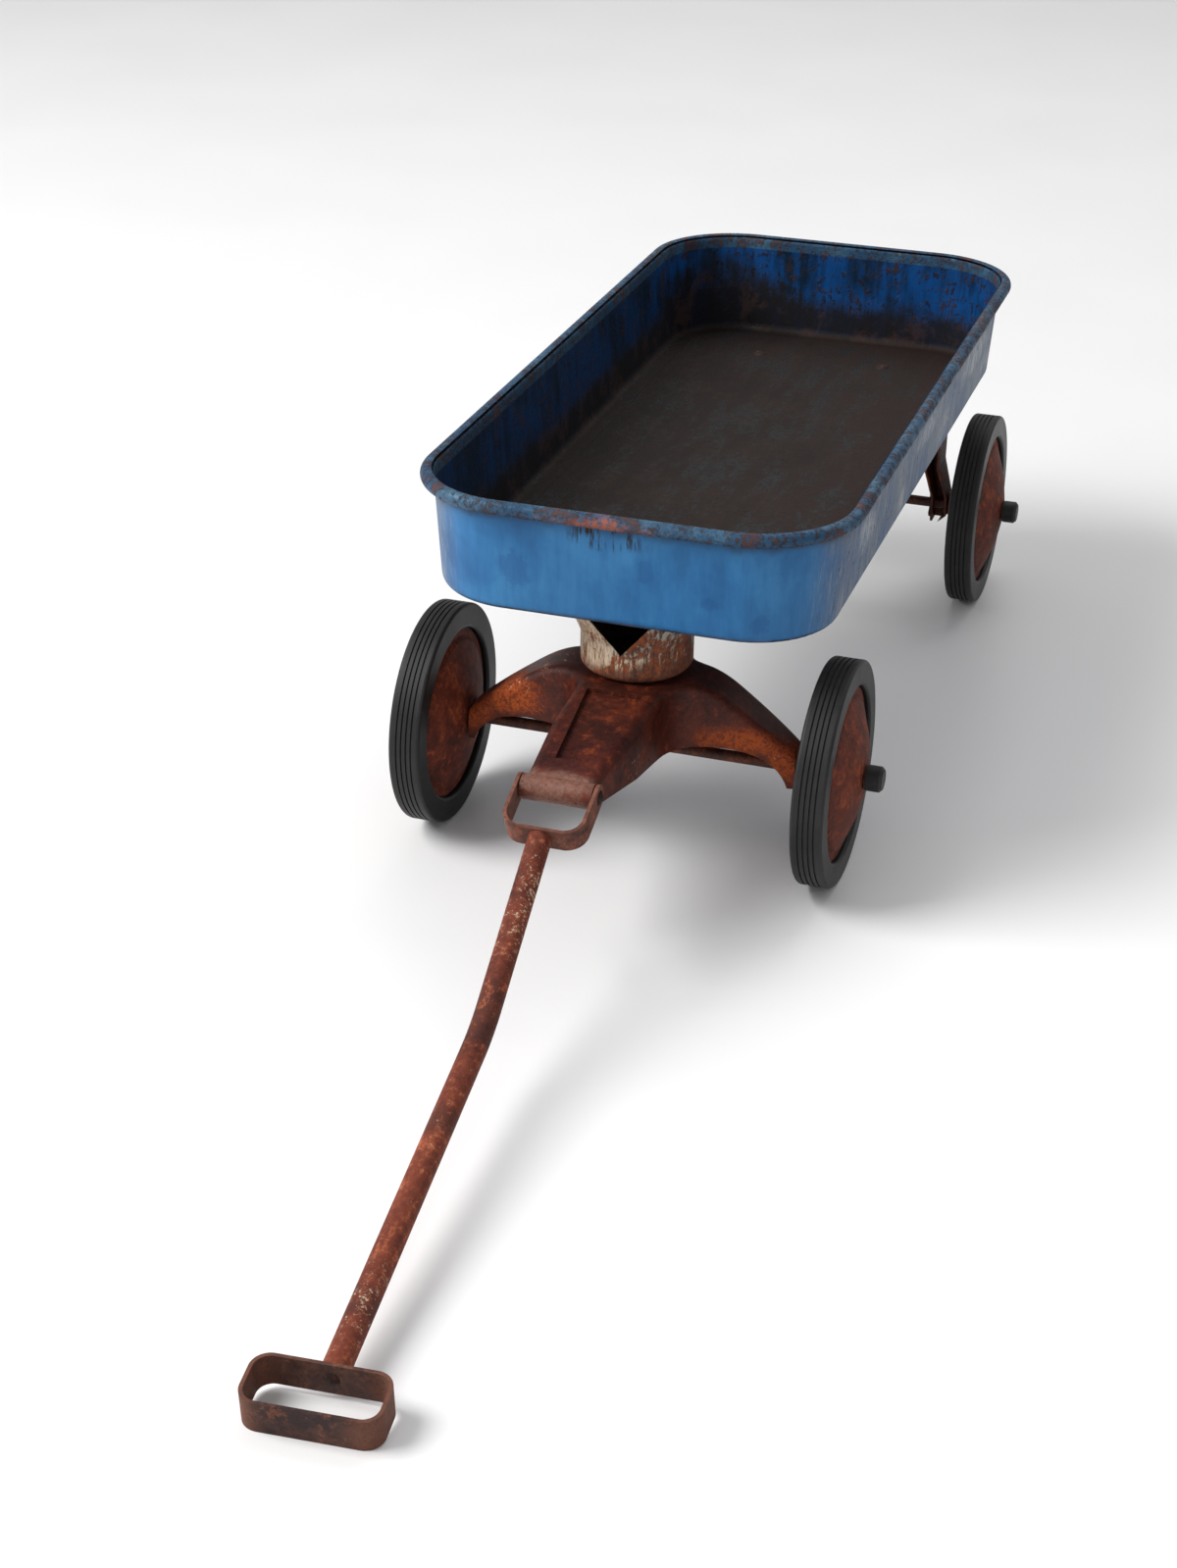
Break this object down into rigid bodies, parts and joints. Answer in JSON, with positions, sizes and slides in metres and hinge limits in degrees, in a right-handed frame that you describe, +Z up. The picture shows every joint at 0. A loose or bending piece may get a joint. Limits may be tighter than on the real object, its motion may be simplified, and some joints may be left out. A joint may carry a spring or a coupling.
{
  "type": "pull wagon",
  "caption": "Child's pull wagon: rolled-rim pressed tray, swivelling front fork under a collar, dished wheels with ribbed rubber tyres, and a lifting handle with a strap grip.",
  "frame": {"origin": "on the floor, under the middle of the wagon's whole length with the handle lying forward and in the middle of its width", "axes": "+Z up, -Y forward along the handle, X along the axles, +X to the wagon's left when facing forward"},
  "size_m": [0.4552, 1.6188, 0.3501],
  "materials": {
    "tray_paint": "worn blue enamel with rust",
    "collar_paint": "chipped off-white paint streaked with rust",
    "fork_steel": "dark rusted enamel",
    "bracket_steel": "rusted steel",
    "handle_steel": "red-brown rust with flecks of old paint",
    "grip_steel": "dark brown patina",
    "wheel_steel": "rusted disc",
    "axle_steel": "dull rusted steel",
    "fastener_steel": "dull rusted steel",
    "axle_cap": "black, dull",
    "tyre_rubber": "black ribbed rubber"
  },
  "bodies": {
    "chassis": {"tray": "tray_paint", "front_collar": "collar_paint", "collar_bolts": "fastener_steel", "collar_nuts": "fastener_steel", "kingpin_bolt": "fastener_steel", "kingpin_washer": "fastener_steel", "kingpin_nut": "fastener_steel", "rear_bracket": "bracket_steel", "rear_bracket_bolts": "fastener_steel", "rear_bracket_nuts": "fastener_steel", "rear_axle": "axle_steel", "rear_axle_cotters": "fastener_steel", "rear_axle_washers": "fastener_steel", "rear_axle_caps": "axle_cap"},
    "steering_fork": {"front_fork": "fork_steel", "thrust_washer": "fastener_steel", "front_axle": "axle_steel", "front_axle_washers": "fastener_steel", "front_axle_caps": "axle_cap", "handle_pin": "fastener_steel"},
    "pull_handle": {"yoke": "handle_steel", "handle_tube": "handle_steel", "tube_plug": "fastener_steel", "grip": "grip_steel", "grip_bolt": "fastener_steel"},
    "front_left_wheel": {"front_left_tyre": "tyre_rubber", "front_left_outer_disc": "wheel_steel", "front_left_inner_disc": "wheel_steel", "front_left_hub_tube": "axle_steel"},
    "front_right_wheel": {"front_right_tyre": "tyre_rubber", "front_right_outer_disc": "wheel_steel", "front_right_inner_disc": "wheel_steel", "front_right_hub_tube": "axle_steel"},
    "rear_left_wheel": {"rear_left_tyre": "tyre_rubber", "rear_left_outer_disc": "wheel_steel", "rear_left_inner_disc": "wheel_steel", "rear_left_hub_tube": "axle_steel"},
    "rear_right_wheel": {"rear_right_tyre": "tyre_rubber", "rear_right_outer_disc": "wheel_steel", "rear_right_inner_disc": "wheel_steel", "rear_right_hub_tube": "axle_steel"}
  },
  "joints": [
    {"name": "steering", "type": "hinge", "parent": "chassis", "child": "steering_fork", "pos_m": [0, 0.03077, 0.1784], "axis": [0, 0, 1], "range_deg": [-60, 60]},
    {"name": "handle_lift", "type": "hinge", "parent": "steering_fork", "child": "pull_handle", "pos_m": [0, -0.18323, 0.156], "axis": [-1, 0, 0], "range_deg": [0, 115]},
    {"name": "front_left_spin", "type": "hinge", "parent": "steering_fork", "child": "front_left_wheel", "pos_m": [0.1827, 0.03077, 0.1016], "axis": [1, 0, 0], "continuous": true},
    {"name": "front_right_spin", "type": "hinge", "parent": "steering_fork", "child": "front_right_wheel", "pos_m": [-0.1827, 0.03077, 0.1016], "axis": [1, 0, 0], "continuous": true},
    {"name": "rear_left_spin", "type": "hinge", "parent": "chassis", "child": "rear_left_wheel", "pos_m": [0.1827, 0.70147, 0.1016], "axis": [1, 0, 0], "continuous": true},
    {"name": "rear_right_spin", "type": "hinge", "parent": "chassis", "child": "rear_right_wheel", "pos_m": [-0.1827, 0.70147, 0.1016], "axis": [1, 0, 0], "continuous": true}
  ]
}
